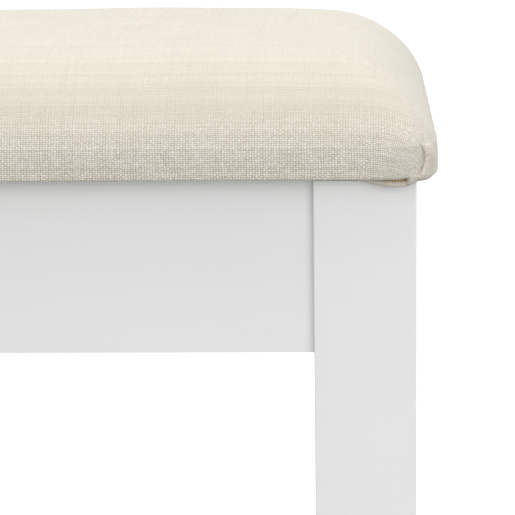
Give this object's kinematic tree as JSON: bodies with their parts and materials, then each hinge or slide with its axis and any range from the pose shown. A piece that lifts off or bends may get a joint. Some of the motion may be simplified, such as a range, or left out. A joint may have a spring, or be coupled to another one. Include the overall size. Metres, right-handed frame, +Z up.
{
  "type": "piano bench",
  "caption": "Upholstered piano bench: square wooden legs and aprons, and a padded linen lid hinged over a shallow music compartment.",
  "frame": {"origin": "centre of the footprint, on the floor", "axes": "+X along the bench's length, -Y towards the front, +Z up; the lid's hinges are at the rear (+Y)"},
  "size_m": [0.56, 0.33, 0.49],
  "materials": {
    "painted_wood": "satin",
    "linen": "matte",
    "plywood": "matte",
    "seat_foam": "matte",
    "wadding": "matte",
    "lining": "matte",
    "zinc_steel": "satin",
    "staple_wire": "satin",
    "hinge_brass": "satin",
    "glide_plastic": "matte",
    "bumper_rubber": "matte"
  },
  "bodies": {
    "frame": {"leg_front_left": "painted_wood", "leg_front_right": "painted_wood", "leg_rear_left": "painted_wood", "leg_rear_right": "painted_wood", "apron_front": "painted_wood", "apron_rear": "painted_wood", "apron_left": "painted_wood", "apron_right": "painted_wood", "corner_bracket_front_left": "zinc_steel", "corner_bracket_front_right": "zinc_steel", "corner_bracket_rear_left": "zinc_steel", "corner_bracket_rear_right": "zinc_steel", "compartment_floor": "plywood", "hanger_bolts": "zinc_steel", "bolt_washers": "zinc_steel", "wing_nuts": "zinc_steel", "bracket_screws": "zinc_steel", "foot_glides": "glide_plastic", "glide_nails": "zinc_steel", "lid_bumpers": "bumper_rubber", "hinge_left_frame_leaf": "hinge_brass", "hinge_left_pin": "hinge_brass", "hinge_right_frame_leaf": "hinge_brass", "hinge_right_pin": "hinge_brass", "hinge_frame_screws": "hinge_brass"},
    "lid": {"seat_board": "plywood", "seat_foam": "seat_foam", "seat_wadding": "wadding", "seat_cover": "linen", "seat_lining": "lining", "lining_staples": "staple_wire", "cover_staples": "staple_wire", "hinge_left_lid_leaf": "hinge_brass", "hinge_right_lid_leaf": "hinge_brass", "hinge_lid_screws": "hinge_brass"}
  },
  "joints": [
    {"name": "lid_hinge", "type": "hinge", "parent": "frame", "child": "lid", "pos_m": [0, 0.15305, 0.42495], "axis": [-1, 0, 0], "range_deg": [0, 100]}
  ]
}
